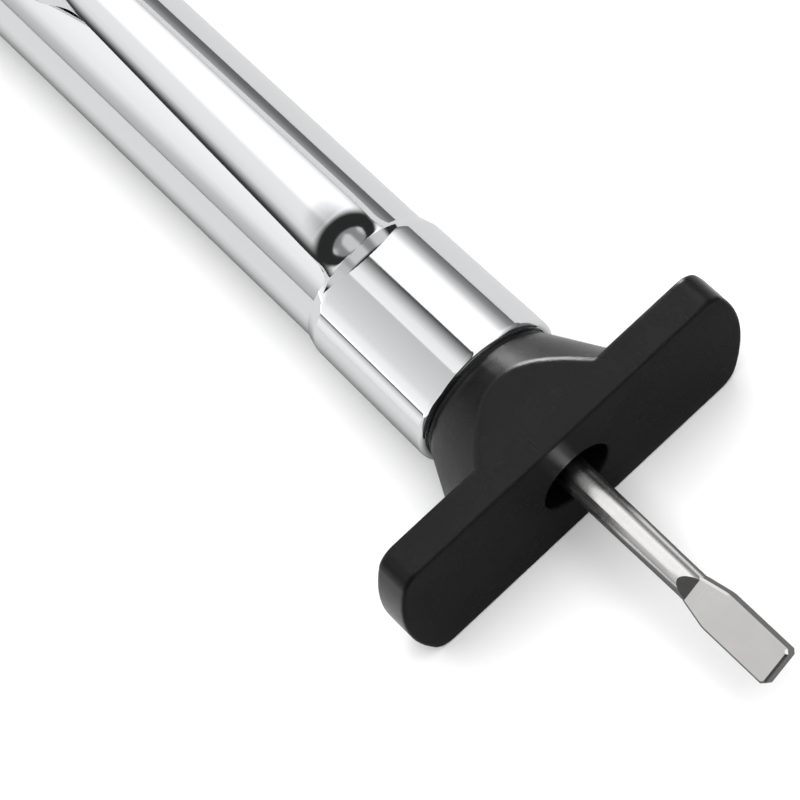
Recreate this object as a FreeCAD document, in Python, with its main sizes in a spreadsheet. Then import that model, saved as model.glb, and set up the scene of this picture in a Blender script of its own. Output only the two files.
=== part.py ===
import FreeCAD, Part
import math
import os
import Sketcher
from FreeCAD import Placement, Rotation, Vector

# Pen type tread depth gauge. X is the gauge's axis and points out of the measuring face, Y runs
# along the foot, and Z is up on the side that carries the pocket clip. The origin is the centre of
# the measuring face. Lengths are in millimetres.

doc = FreeCAD.newDocument("tread_depth_gauge")
sheet = doc.addObject("Spreadsheet::Sheet", "size")

SIZES = [
    # barrel and its end cap
    ("barrel_diameter", 9.5),
    ("barrel_wall", 0.5),
    ("barrel_length", 80.0),
    ("barrel_edge", 0.12),
    ("cap_plug_length", 5.0),
    ("cap_flange_thickness", 1.4),
    ("cap_flange_diameter", 9.3),
    ("cap_bevel", 0.45),
    # fits
    ("press_clearance", 0.01),
    ("slide_clearance", 0.05),
    ("stop_clearance", 0.1),
    # moulded foot
    ("foot_length", 25.9),
    ("foot_depth", 11.4),
    ("foot_thickness", 2.25),
    ("foot_corner_radius", 1.45),
    ("foot_edge_radius", 0.2),
    ("face_hole_diameter", 4.85),
    ("hub_front_diameter", 14.4),
    ("hub_rear_diameter", 9.6),
    ("hub_length", 4.8),
    ("hub_edge_radius", 0.45),
    ("neck_diameter", 9.4),
    ("neck_length", 1.95),
    ("spigot_length", 7.0),
    # guide bush behind the foot
    ("bush_length", 6.0),
    ("bush_flange_diameter", 7.4),
    ("bush_flange_thickness", 1.0),
    # probe and its blade
    ("probe_diameter", 2.0),
    ("probe_front_diameter", 1.86),
    ("probe_reach", 16.1),
    ("full_reach", 25.4),
    ("blade_length", 6.45),
    ("blade_width", 2.5),
    ("blade_root_width", 1.12),
    ("blade_heel_width", 1.77),
    ("blade_thickness", 1.15),
    ("blade_angle", 28.0),
    ("blade_edge", 0.13),
    ("blade_corner", 0.22),
    ("shoulder_length", 1.7),
    ("ramp_length", 0.95),
    # carrier that joins the probe to the indicator bar
    ("carrier_length", 9.0),
    ("carrier_edge", 0.3),
    ("probe_socket_depth", 4.0),
    ("ring_section", 1.5),
    ("ring_setback", 4.6),
    ("probe_pin_diameter", 0.8),
    ("probe_pin_setback", 2.0),
    ("bar_pin_diameter", 1.2),
    ("bar_pin_setback", 1.7),
    # indicator bar and its button
    ("bar_width", 5.6),
    ("bar_edge", 0.35),
    ("tenon_diameter", 3.6),
    ("tenon_length", 3.4),
    ("tick_width", 0.16),
    ("tick_depth", 0.1),
    ("tick_length", 2.6),
    ("long_tick_length", 4.2),
    ("tick_pitch", 1.0),
    ("long_tick_pitch", 5.0),
    ("button_diameter", 8.6),
    ("button_length", 4.6),
    ("button_bevel", 0.7),
    ("button_bevel_length", 0.9),
    # pocket clip, one stamping of a collar and a tongue
    ("clip_sheet", 0.3),
    ("collar_length", 10.4),
    ("collar_overhang", 1.65),
    ("collar_flare", 0.1),
    ("collar_lip_bevel", 0.28),
    ("collar_rear_taper", 0.75),
    ("collar_rear_edge", 0.09),
    ("collar_rear_radius", 1.5),
    ("root_inset", 1.4),
    ("root_bow", 65.0),
    ("flare_radius", 1.25),
    ("flare_setback", 0.83),
    ("neck_setback", 1.85),
    ("neck_half_width", 2.15),
    ("neck_rise", 1.17),
    ("neck_straight_share", 0.7),
    ("tongue_length", 31.5),
    ("tongue_tip_half_width", 1.45),
    ("tongue_climb", 0.084),
    ("tongue_bow", 51.0),
    ("wing_length", 8.9),
    ("wing_turn_length", 5.34),
    ("wing_depth", 3.3),
    ("wing_bow", 76.0),
    ("tip_round_length", 1.34),
]

for row, (alias, number) in enumerate(SIZES, start=1):
    sheet.set(f"A{row}", alias.replace("_", " "))
    sheet.set(f"B{row}", str(number))
    sheet.setAlias(f"B{row}", alias)
doc.recompute()


def value(expression):
    """Number that an expression on the sheet's sizes gives."""
    result = sheet.evalExpression(expression)
    return float(getattr(result, "Value", result))


# Places along the axis that several pieces share
BARREL_FRONT = "-(size.foot_thickness + size.hub_length + size.neck_length)"
BARREL_REAR = f"({BARREL_FRONT} - size.barrel_length)"
SPIGOT_REAR = f"({BARREL_FRONT} - size.spigot_length)"
CAP_REAR = f"({BARREL_REAR} - size.cap_flange_thickness)"
CAP_FRONT = f"({BARREL_REAR} + size.cap_plug_length)"
CARRIER_REAR = f"({CAP_FRONT} + size.probe_reach + size.stop_clearance)"
CARRIER_FRONT = f"({CARRIER_REAR} + size.carrier_length)"
TRAVEL_LEFT = "(size.full_reach - size.probe_reach)"
BUTTON_FRONT = f"({CAP_REAR} - {TRAVEL_LEFT} - size.stop_clearance)"
COLLAR_FRONT = f"({BARREL_FRONT} + size.collar_overhang)"
COLLAR_REAR = f"({COLLAR_FRONT} - size.collar_length)"

# Radii that mating pieces share
BARREL_RADIUS = "(size.barrel_diameter / 2)"
BORE_RADIUS = "(size.barrel_diameter / 2 - size.barrel_wall)"
HOLE_RADIUS = "(size.face_hole_diameter / 2)"
COLLAR_RADIUS = f"({BARREL_RADIUS} + size.press_clearance + size.clip_sheet)"
GROOVE_RADIUS = f"({BORE_RADIUS} - size.slide_clearance - size.ring_section)"
PROBE_FRONT_RADIUS = "(size.probe_front_diameter / 2)"

# How finely the clip's tongue is drawn, and where its rounded end is cut
ROOT_STEPS, FLARE_STEPS, NECK_STEPS, PLAIN_STEPS, WING_STEPS = 2, 6, 3, 5, 7
TIP_DEGREES = (30, 50, 68)

# Places along the probe, measured back from its tip
RAMP_START = "(-size.blade_length - size.ramp_length)"
ROD_END = "(-size.blade_length + size.shoulder_length / 4)"


def new_body(label, at="0"):
    """Body whose own origin lies on the gauge's axis at the place that the expression gives."""
    body = doc.addObject("PartDesign::Body", label)
    body.Label = label
    body.setExpression("Placement.Base.x", at)
    return body


def origin_plane(body, role):
    """One of the body's own base planes."""
    return next(f for f in body.Origin.OriginFeatures if f.Role == role)


def place_sketch(body, name, role, shift=None):
    """Empty sketch on a base plane of the body, shifted along the plane's normal if asked."""
    sketch = body.newObject("Sketcher::SketchObject", name)
    sketch.AttachmentSupport = [(origin_plane(body, role), "")]
    sketch.MapMode = "FlatFace"
    if shift:
        sketch.setExpression("AttachmentOffset.Base.z", shift)
    return sketch


def fix_point(sketch, line, end, place, name):
    """Hold one end of a line at the place that a pair of expressions gives."""
    for kind, axis, text in (("DistanceX", -2, place[0]), ("DistanceY", -1, place[1])):
        if text == "0":
            sketch.addConstraint(Sketcher.Constraint("PointOnObject", line, end, axis))
            continue
        index = sketch.addConstraint(Sketcher.Constraint(kind, -1, 1, line, end, value(text)))
        label = f"{name}_{kind[-1].lower()}"
        sketch.renameConstraint(index, label)
        sketch.setExpression(f"Constraints.{label}", text)


def draw_outline(sketch, corners):
    """Closed outline of straight lines through corners given as pairs of expressions."""
    spots = [Vector(value(x), value(y), 0) for x, y in corners]
    lines = [Part.LineSegment(a, b) for a, b in zip(spots, spots[1:] + spots[:1])]
    sketch.addGeometry(lines, False)
    count = len(corners)
    for i in range(count):
        sketch.addConstraint(Sketcher.Constraint("Coincident", i, 2, (i + 1) % count, 1))
    for i, corner in enumerate(corners):
        fix_point(sketch, i, 1, corner, f"corner{i}")
    return sketch


def draw_circle(sketch, diameter, across="0", up="0"):
    """Circle with its centre held at a pair of expressions and its diameter bound to another."""
    centre = Vector(value(across), value(up), 0)
    line = sketch.addGeometry(Part.Circle(centre, Vector(0, 0, 1), value(diameter) / 2), False)
    index = sketch.addConstraint(Sketcher.Constraint("Diameter", line, value(diameter)))
    sketch.renameConstraint(index, f"diameter{line}")
    sketch.setExpression(f"Constraints.diameter{line}", diameter)
    fix_point(sketch, line, 3, (across, up), f"centre{line}")
    return sketch


def box_corners(left, low, right, high):
    """Corners of an upright rectangle, as pairs of expressions."""
    return [(left, low), (right, low), (right, high), (left, high)]


def turn(body, name, corners):
    """Solid turned about the gauge's axis from an outline of (place along X, radius)."""
    sketch = draw_outline(place_sketch(body, name + "_profile", "XZ_Plane"), corners)
    revolution = body.newObject("PartDesign::Revolution", name)
    revolution.Profile = sketch
    revolution.ReferenceAxis = (sketch, ["H_Axis"])
    revolution.Angle = 360
    doc.recompute()
    return revolution


def pad(body, name, sketch, length, backwards=False, both_ways=False):
    """Pad of a sketch by a bound length."""
    feature = body.newObject("PartDesign::Pad", name)
    feature.Profile = sketch
    feature.setExpression("Length", length)
    feature.Reversed = backwards
    feature.Midplane = both_ways
    doc.recompute()
    return feature


def cut_through(body, name, sketch):
    """Pocket that runs right through the body on both sides of its sketch."""
    before = body.Shape.Volume
    feature = body.newObject("PartDesign::Pocket", name)
    feature.Profile = sketch
    feature.Type = "ThroughAll"
    feature.Midplane = True
    doc.recompute()
    check_removed(name, before, body.Shape.Volume)
    return feature


def cut_depth(body, name, sketch, depth, backwards=False):
    """Pocket of a bound depth."""
    before = body.Shape.Volume
    feature = body.newObject("PartDesign::Pocket", name)
    feature.Profile = sketch
    feature.setExpression("Length", depth)
    feature.Reversed = backwards
    doc.recompute()
    check_removed(name, before, body.Shape.Volume)
    return feature


def check_removed(name, before, after):
    """Stop where a cut took nothing away."""
    if not after < before:
        raise RuntimeError(f"{name} removed nothing")


def edges_where(shape, rule):
    """Names of the edges that a rule picks."""
    return [f"Edge{i}" for i, edge in enumerate(shape.Edges, start=1) if rule(edge)]


def soften(body, kind, name, rule, size):
    """Fillet or chamfer with a bound size on the edges that a rule picks."""
    base = body.Tip
    names = edges_where(base.Shape, rule)
    if not names:
        raise RuntimeError(f"{name} found no edge")
    feature = body.newObject("PartDesign::" + kind, name)
    feature.Base = (base, names)
    feature.setExpression("Radius" if kind == "Fillet" else "Size", size)
    doc.recompute()
    return feature


def is_ring(edge, along, radius):
    """Whether an edge is a circle about the axis, at a place and with a radius."""
    curve = edge.Curve
    if not isinstance(curve, Part.Circle):
        return False
    near = 1e-4
    return abs(curve.Center.x - along) < near and abs(curve.Radius - radius) < near


def runs_along_x(edge):
    """Whether an edge is a straight line parallel to the axis."""
    if not isinstance(edge.Curve, Part.Line):
        return False
    return abs(abs(edge.Curve.Direction.x) - 1) < 1e-6


def make_barrel():
    """Chromed tube, its own origin at its front end."""
    body = new_body("barrel", BARREL_FRONT)
    rear = "-size.barrel_length"
    turn(body, "tube", box_corners(rear, BORE_RADIUS, "0", BARREL_RADIUS))
    outer = value(BARREL_RADIUS)
    soften(body, "Chamfer", "tube_ends",
           lambda e: any(is_ring(e, x, outer) for x in (0, value(rear))), "size.barrel_edge")
    return body


def make_end_cap():
    """Moulded cap pressed into the barrel's rear end, with a square window for the bar."""
    body = new_body("end_cap", BARREL_REAR)
    plug = f"({BORE_RADIUS} - size.press_clearance)"
    turn(body, "cap", [
        ("size.cap_plug_length", "0"),
        ("size.cap_plug_length", plug),
        ("0", plug),
        ("0", "size.cap_flange_diameter / 2"),
        ("-size.cap_flange_thickness", "size.cap_flange_diameter / 2"),
        ("-size.cap_flange_thickness", "0"),
    ])
    rear = value("-size.cap_flange_thickness")
    rim = value("size.cap_flange_diameter / 2")
    soften(body, "Chamfer", "cap_rim", lambda e: is_ring(e, rear, rim), "size.cap_bevel")
    half = "(size.bar_width / 2 + size.slide_clearance)"
    window = place_sketch(body, "window_outline", "YZ_Plane")
    draw_outline(window, box_corners("-" + half, "-" + half, half, half))
    cut_through(body, "window", window)
    return body


def draw_foot_outline(sketch):
    """Round disc with two flats, as the foot looks from its measuring face."""
    radius = value("size.foot_length / 2")
    half = value("size.foot_depth / 2")
    reach = math.sqrt(radius ** 2 - half ** 2)
    tilt = math.asin(half / radius)
    disc = Part.Circle(Vector(0, 0, 0), Vector(0, 0, 1), radius)
    sketch.addGeometry([
        Part.ArcOfCircle(disc, -tilt, tilt),
        Part.LineSegment(Vector(reach, half, 0), Vector(-reach, half, 0)),
        Part.ArcOfCircle(disc, math.pi - tilt, math.pi + tilt),
        Part.LineSegment(Vector(-reach, -half, 0), Vector(reach, -half, 0)),
    ], False)
    for first, second in ((0, 1), (1, 2), (2, 3), (3, 0)):
        sketch.addConstraint(Sketcher.Constraint("Coincident", first, 2, second, 1))
    for arc in (0, 2):
        sketch.addConstraint(Sketcher.Constraint("Coincident", arc, 3, -1, 1))
    for line in (1, 3):
        sketch.addConstraint(Sketcher.Constraint("Horizontal", line))
    sizes = (
        ("Radius", (0, radius), "disc_radius", "size.foot_length / 2"),
        ("Radius", (2, radius), "disc_radius_2", "size.foot_length / 2"),
        ("DistanceY", (-1, 1, 1, 1, half), "upper_flat", "size.foot_depth / 2"),
        ("DistanceY", (3, 1, -1, 1, half), "lower_flat", "size.foot_depth / 2"),
    )
    for kind, parts, name, text in sizes:
        index = sketch.addConstraint(Sketcher.Constraint(kind, *parts))
        sketch.renameConstraint(index, name)
        sketch.setExpression(f"Constraints.{name}", text)
    return sketch


def make_foot_plate():
    """Plate of the foot, with its rounded corners and edges."""
    body = new_body("foot_plate")
    outline = draw_foot_outline(place_sketch(body, "plate_outline", "YZ_Plane"))
    pad(body, "plate", outline, "size.foot_thickness", backwards=True)
    soften(body, "Fillet", "plate_corners", runs_along_x, "size.foot_corner_radius")
    soften(body, "Fillet", "plate_edges", lambda e: not runs_along_x(e), "size.foot_edge_radius")
    return body


def make_foot_hub():
    """Tapered hub with two flats, its neck in the collar's mouth and its spigot in the barrel."""
    body = new_body("foot_hub")
    hub_rear = "-(size.foot_thickness + size.hub_length)"
    slope = "((size.hub_front_diameter - size.hub_rear_diameter) / 2 / size.hub_length)"
    inside_plate = "(size.foot_thickness / 2)"
    front = f"(size.hub_front_diameter / 2 + {slope} * {inside_plate})"
    spigot = f"({BORE_RADIUS} - size.press_clearance)"
    turn(body, "hub", [
        (f"-{inside_plate}", "0"),
        (f"-{inside_plate}", front),
        (hub_rear, "size.hub_rear_diameter / 2"),
        (hub_rear, "size.neck_diameter / 2"),
        (BARREL_FRONT, "size.neck_diameter / 2"),
        (BARREL_FRONT, spigot),
        (SPIGOT_REAR, spigot),
        (SPIGOT_REAR, "0"),
    ])
    flat = "(size.foot_depth / 2)"
    wide = f"({front} + 1)"
    for name, low, high in (("upper_flat", flat, wide), ("lower_flat", "-" + wide, "-" + flat)):
        strip = place_sketch(body, name + "_outline", "XZ_Plane")
        draw_outline(strip, box_corners(hub_rear, low, "0", high))
        cut_through(body, name, strip)

    level = value(flat)
    end = value(f"-{inside_plate}")

    def on_flat_arch(edge):
        box = edge.BoundBox
        on_flat = abs(abs(box.ZMin) - level) < 1e-3 and box.ZLength < 1e-3
        return on_flat and box.XMin < end - 0.1

    soften(body, "Fillet", "arch_edges", on_flat_arch, "size.hub_edge_radius")
    return body


def make_foot():
    """Moulded T foot: plate and hub as one piece, bored for the probe."""
    blank = doc.addObject("Part::Fuse", "foot_blank")
    blank.Base = make_foot_plate()
    blank.Tool = make_foot_hub()
    drill = doc.addObject("Part::Cylinder", "foot_drill")
    drill.setExpression("Radius", HOLE_RADIUS)
    drill.setExpression("Height", f"-2 * {SPIGOT_REAR}")
    drill.Placement = Placement(Vector(0, 0, 0), Rotation(Vector(0, 1, 0), -90))
    drill.setExpression("Placement.Base.x", f"-{SPIGOT_REAR} / 2")
    foot = doc.addObject("Part::Cut", "foot")
    foot.Base = blank
    foot.Tool = drill
    doc.recompute()
    return foot


def make_guide_bush():
    """Flanged bush in the rear of the foot's bore, in which the probe slides."""
    body = new_body("guide_bush", SPIGOT_REAR)
    bore = "(size.probe_diameter / 2 + size.slide_clearance)"
    outer = f"({HOLE_RADIUS} - size.press_clearance)"
    turn(body, "bush", [
        ("size.bush_length", bore),
        ("size.bush_length", outer),
        ("0", outer),
        ("0", "size.bush_flange_diameter / 2"),
        ("-size.bush_flange_thickness", "size.bush_flange_diameter / 2"),
        ("-size.bush_flange_thickness", bore),
    ])
    return body


def make_probe_rod():
    """Round rod of the probe with a ramp down to each face of the blade."""
    body = new_body("probe_rod")
    rear = f"({CARRIER_FRONT} - size.probe_socket_depth - size.probe_reach)"
    turn(body, "rod", [
        (rear, "0"),
        (rear, "size.probe_diameter / 2"),
        ("-size.probe_reach", "size.probe_diameter / 2"),
        (RAMP_START, PROBE_FRONT_RADIUS),
        (ROD_END, PROBE_FRONT_RADIUS),
        (ROD_END, "0"),
    ])
    for name, side in (("upper_ramp", ""), ("lower_ramp", "-")):
        wedge = place_sketch(body, name + "_outline", "XZ_Plane")
        draw_outline(wedge, [
            (RAMP_START, side + PROBE_FRONT_RADIUS),
            ("-size.blade_length", side + "(size.blade_thickness / 2)"),
            ("0", side + "(size.blade_thickness / 2)"),
            ("0", side + "(size.probe_diameter)"),
            (RAMP_START, side + "(size.probe_diameter)"),
        ])
        cut_through(body, name, wedge)
    return body


def make_blade():
    """Flat blade with rounded shoulders, small tip corners and a bevelled rim."""
    body = new_body("probe_blade")
    half = "(size.blade_width / 2)"
    shoulder = "(-size.blade_length + size.shoulder_length)"
    right = [
        (RAMP_START, "(size.blade_root_width / 2)"),
        ("-size.blade_length", "(size.blade_heel_width / 2)"),
        (shoulder, half),
        ("0", half),
    ]
    left = [(x, "-" + y) for x, y in reversed(right)]
    outline = draw_outline(place_sketch(body, "blade_outline", "XY_Plane"), right + left)
    pad(body, "blade", outline, "size.blade_thickness", both_ways=True)

    def is_upright_at(edge, along):
        box = edge.BoundBox
        upright = box.XLength < 1e-4 and box.YLength < 1e-4
        return upright and abs(box.XMin - value(along)) < 1e-3

    soften(body, "Fillet", "shoulders", lambda e: is_upright_at(e, shoulder),
           "size.shoulder_length")
    soften(body, "Chamfer", "tip_corners", lambda e: is_upright_at(e, "0"), "size.blade_corner")
    soften(body, "Chamfer", "blade_rim",
           lambda e: e.BoundBox.ZLength < 1e-4 and e.BoundBox.XMax > value(RAMP_START) + 1e-3,
           "size.blade_edge")
    return body


def make_probe():
    """Steel rod whose front end is pressed to a flat blade, cross drilled for its pin."""
    blank = doc.addObject("Part::Fuse", "probe_blank")
    blank.Base = make_probe_rod()
    blank.Tool = make_blade()
    blank.Placement = Placement(Vector(0, 0, 0), Rotation(Vector(1, 0, 0), 1))
    blank.setExpression("Placement.Base.x", "size.probe_reach")
    blank.setExpression("Placement.Rotation.Angle", "size.blade_angle * 1 deg")
    drill = doc.addObject("Part::Cylinder", "probe_drill")
    drill.setExpression("Radius", "size.probe_pin_diameter / 2 + size.press_clearance")
    drill.setExpression("Height", "size.probe_diameter * 2")
    drill.setExpression("Placement.Base.x", f"{CARRIER_FRONT} - size.probe_pin_setback")
    drill.setExpression("Placement.Base.z", "-size.probe_diameter")
    probe = doc.addObject("Part::Cut", "probe")
    probe.Base = blank
    probe.Tool = drill
    doc.recompute()
    return probe


def make_carrier():
    """Piston that slides in the barrel: probe in its nose, indicator bar in its tail."""
    body = new_body("carrier", CARRIER_FRONT)
    rear = "-size.carrier_length"
    outer = f"({BORE_RADIUS} - size.slide_clearance)"
    groove_front = "(-size.ring_setback + size.ring_section / 2 + size.press_clearance)"
    groove_rear = "(-size.ring_setback - size.ring_section / 2 - size.press_clearance)"
    floor = f"({GROOVE_RADIUS} - size.press_clearance)"
    turn(body, "piston", [
        ("0", "0"), ("0", outer), (groove_front, outer), (groove_front, floor),
        (groove_rear, floor), (groove_rear, outer), (rear, outer), (rear, "0"),
    ])
    rim = value(outer)
    soften(body, "Chamfer", "piston_rims",
           lambda e: any(is_ring(e, x, rim) for x in (0, value(rear))), "size.carrier_edge")
    nose = place_sketch(body, "nose_socket_outline", "YZ_Plane")
    draw_circle(nose, "size.probe_diameter + 2 * size.press_clearance")
    cut_depth(body, "nose_socket", nose, "size.probe_socket_depth + size.press_clearance")
    tail = place_sketch(body, "tail_socket_outline", "YZ_Plane", rear)
    draw_circle(tail, "size.tenon_diameter + 2 * size.press_clearance")
    cut_depth(body, "tail_socket", tail, "size.tenon_length + size.press_clearance", backwards=True)
    front_pin = place_sketch(body, "front_pin_outline", "XY_Plane")
    draw_circle(front_pin, "size.probe_pin_diameter + 2 * size.press_clearance",
                "-size.probe_pin_setback")
    cut_through(body, "front_pin_hole", front_pin)
    rear_pin = place_sketch(body, "rear_pin_outline", "XY_Plane")
    draw_circle(rear_pin, "size.bar_pin_diameter + 2 * size.press_clearance",
                "-size.carrier_length + size.bar_pin_setback")
    cut_through(body, "rear_pin_hole", rear_pin)
    return body


def make_cross_pin(label, at, diameter):
    """Round pin across the carrier, kept just inside its wall."""
    body = new_body(label, at)
    circle = draw_circle(place_sketch(body, "pin_outline", "XY_Plane"), diameter)
    pad(body, "pin", circle, f"2 * ({BORE_RADIUS} - size.slide_clearance - size.carrier_edge)",
        both_ways=True)
    return body


def make_friction_ring():
    """Square-cut rubber ring in the carrier's groove, which holds the bar where it is pushed."""
    body = new_body("friction_ring", f"{CARRIER_FRONT} - size.ring_setback")
    half = "(size.ring_section / 2)"
    turn(body, "ring", box_corners("-" + half, GROOVE_RADIUS, half,
                                   f"({GROOVE_RADIUS} + size.ring_section)"))
    return body


def make_indicator_bar():
    """Square nylon bar with a round tenon at each end and a millimetre scale on its upper face."""
    body = new_body("indicator_bar", CARRIER_REAR)
    rear = f"({BUTTON_FRONT} - {CARRIER_REAR})"
    half = "(size.bar_width / 2)"
    square = place_sketch(body, "bar_outline", "YZ_Plane")
    draw_outline(square, box_corners("-" + half, "-" + half, half, half))
    pad(body, "bar", square, f"-{rear}", backwards=True)
    soften(body, "Chamfer", "bar_edges", runs_along_x, "size.bar_edge")
    front = draw_circle(place_sketch(body, "front_tenon_outline", "YZ_Plane"), "size.tenon_diameter")
    pad(body, "front_tenon", front, "size.tenon_length")
    back = place_sketch(body, "rear_tenon_outline", "YZ_Plane", rear)
    draw_circle(back, "size.tenon_diameter")
    pad(body, "rear_tenon", back, "size.tenon_length", backwards=True)
    hole = place_sketch(body, "pin_hole_outline", "XY_Plane")
    draw_circle(hole, "size.bar_pin_diameter + 2 * size.press_clearance", "size.bar_pin_setback")
    cut_through(body, "pin_hole", hole)

    zero = f"({CAP_REAR} + size.probe_reach - {CARRIER_REAR})"
    for name, length, pitch in (("tick", "size.tick_length", "size.tick_pitch"),
                                ("long_tick", "size.long_tick_length", "size.long_tick_pitch")):
        mark = place_sketch(body, name + "_outline", "XY_Plane", half)
        draw_outline(mark, box_corners(f"{zero} - size.tick_width / 2", f"{half} - {length}",
                                       f"{zero} + size.tick_width / 2", half))
        groove = cut_depth(body, name, mark, "size.tick_depth")
        row = body.newObject("PartDesign::LinearPattern", name + "_row")
        row.Originals = [groove]
        row.Direction = (origin_axis(body, "X_Axis"), [""])
        row.Reversed = True
        row.Occurrences = int(value(f"floor(size.full_reach / {pitch})")) + 1
        row.setExpression("Length", f"(floor(size.full_reach / {pitch})) * {pitch}")
        body.Tip = row
        doc.recompute()
    return body


def origin_axis(body, role):
    """One of the body's own base axes."""
    return next(f for f in body.Origin.OriginFeatures if f.Role == role)


def make_bar_button():
    """Moulded push button with a bevelled rim, on the bar's rear tenon."""
    body = new_body("bar_button", BUTTON_FRONT)
    rear = "-size.button_length"
    outer = "(size.button_diameter / 2)"
    turn(body, "button", [
        ("0", "0"),
        ("0", outer),
        (f"({rear} + size.button_bevel_length)", outer),
        (rear, f"({outer} - size.button_bevel)"),
        (rear, "0"),
    ])
    socket = draw_circle(place_sketch(body, "socket_outline", "YZ_Plane"),
                         "size.tenon_diameter + 2 * size.press_clearance")
    cut_depth(body, "socket", socket, "size.tenon_length + size.press_clearance")
    return body


def make_collar():
    """Sleeve of the clip: slightly flared, drawn in at its rear and turned in at its lip."""
    body = new_body("clip_collar", COLLAR_FRONT)
    front = f"({COLLAR_RADIUS} + size.collar_flare)"
    lip = "(size.neck_diameter / 2 + size.press_clearance * 2)"
    rear = "-size.collar_length"
    inside = f"({COLLAR_RADIUS} - size.clip_sheet)"
    bend = f"({rear} + size.collar_rear_taper)"
    turn(body, "sleeve", [
        ("0", lip),
        ("0", front),
        (bend, COLLAR_RADIUS),
        (rear, f"({inside} + size.collar_rear_edge)"),
        (rear, inside),
        (f"{BARREL_FRONT} - {COLLAR_FRONT}", inside),
        ("-size.clip_sheet", f"{front} - size.clip_sheet"),
        ("-size.clip_sheet", lip),
    ])
    outer = value(front)
    soften(body, "Chamfer", "lip_edge", lambda e: is_ring(e, 0, outer), "size.collar_lip_bevel")
    soften(body, "Fillet", "rear_edge", lambda e: is_ring(e, value(bend), value(COLLAR_RADIUS)),
           "size.collar_rear_radius")
    return body


def strip_section(along, top, half_width, bow, wing):
    """Cross-section of the tongue: a bowed strip whose edges run on straight into wings."""
    sheet_thickness = value("size.clip_sheet")
    angle = math.radians(bow)
    outer = half_width / math.sin(angle)
    centre = top - outer
    rim = []
    for radius in (outer, outer - sheet_thickness):
        side = radius * math.sin(angle)
        height = centre + radius * math.cos(angle)
        foot_side = side + wing * math.cos(angle)
        foot_height = height - wing * math.sin(angle)
        rim.append([
            Vector(along, -foot_side, foot_height), Vector(along, -side, height),
            Vector(along, 0, centre + radius),
            Vector(along, side, height), Vector(along, foot_side, foot_height),
        ])
    upper, lower = rim
    return Part.Wire([
        Part.makeLine(upper[0], upper[1]),
        Part.Arc(upper[1], upper[2], upper[3]).toShape(),
        Part.makeLine(upper[3], upper[4]),
        Part.makeLine(upper[4], lower[4]),
        Part.makeLine(lower[4], lower[3]),
        Part.Arc(lower[3], lower[2], lower[1]).toShape(),
        Part.makeLine(lower[1], lower[0]),
        Part.makeLine(lower[0], upper[0]),
    ])


def smooth(share):
    """Share from 0 to 1 with a level start and end."""
    share = min(max(share, 0.0), 1.0)
    return share * share * (3 - 2 * share)


def ramp_up(share, straight):
    """Share from 0 to 1 that climbs straight at first and then rounds off to a level end."""
    share = min(max(share, 0.0), 1.0)
    slope = 2 / (1 + straight)
    if share < straight:
        return slope * share
    return 1 - slope * (1 - share) ** 2 / (2 * (1 - straight))


def steps(count):
    """Shares from just above 0 up to 1 in even steps."""
    return [step / count for step in range(1, count + 1)]


def tongue_sections():
    """Sections of the tongue from its root under the collar to its rounded tip."""
    collar_rear = value(COLLAR_REAR)
    root = collar_rear + value("size.root_inset")
    flare_end = collar_rear - value("size.flare_setback")
    neck = collar_rear - value("size.neck_setback")
    tip = collar_rear - value("size.tongue_length")
    wing_start = tip + value("size.wing_length")
    round_start = tip + value("size.tip_round_length")
    flare = value("size.flare_radius")
    neck_half = value("size.neck_half_width")
    root_half = neck_half + flare
    tip_half = value("size.tongue_tip_half_width")
    sunk = value(f"{COLLAR_RADIUS} - size.clip_sheet / 4")
    stub = value("size.clip_sheet / 4")
    bow = value("size.tongue_bow")
    root_bow = value("size.root_bow")
    wing_bow = value("size.wing_bow")
    depth = value("size.wing_depth")

    def raised(x):
        return ramp_up((root - x) / (root - neck), value("size.neck_straight_share"))

    def top(x):
        climb = value("size.tongue_climb") * max(0.0, neck - x)
        return sunk + value("size.neck_rise") * raised(x) + climb

    def half_width(x):
        share = (flare_end - x) / (flare_end - tip)
        return neck_half + (tip_half - neck_half) * max(0.0, share)

    def turned_down(x):
        return smooth((wing_start - x) / value("size.wing_turn_length"))

    def section(x, width, wing=stub):
        bend = root_bow + (bow - root_bow) * raised(x) + (wing_bow - bow) * turned_down(x)
        return strip_section(x, top(x), width, bend, wing)

    flare_start = flare_end + flare
    sections = [section(root, root_half)]
    for share in steps(ROOT_STEPS):
        sections.append(section(root + (flare_start - root) * share, root_half))
    for share in steps(FLARE_STEPS):
        angle = math.radians(90 * (1 - share))
        sections.append(section(flare_end + flare * math.sin(angle),
                                root_half - flare * math.cos(angle)))
    for share in steps(NECK_STEPS):
        x = flare_end + (neck - flare_end) * share
        sections.append(section(x, half_width(x)))
    for share in steps(PLAIN_STEPS):
        x = neck + (wing_start - neck) * share
        sections.append(section(x, half_width(x)))
    for share in steps(WING_STEPS):
        x = wing_start + (round_start - wing_start) * share
        sections.append(section(x, half_width(x), stub + depth * turned_down(x)))
    for degrees in TIP_DEGREES:
        angle = math.radians(degrees)
        x = round_start + (tip - round_start) * math.sin(angle)
        sections.append(section(x, half_width(round_start) * math.cos(angle),
                                stub + depth * math.cos(angle)))
    return sections


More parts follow.
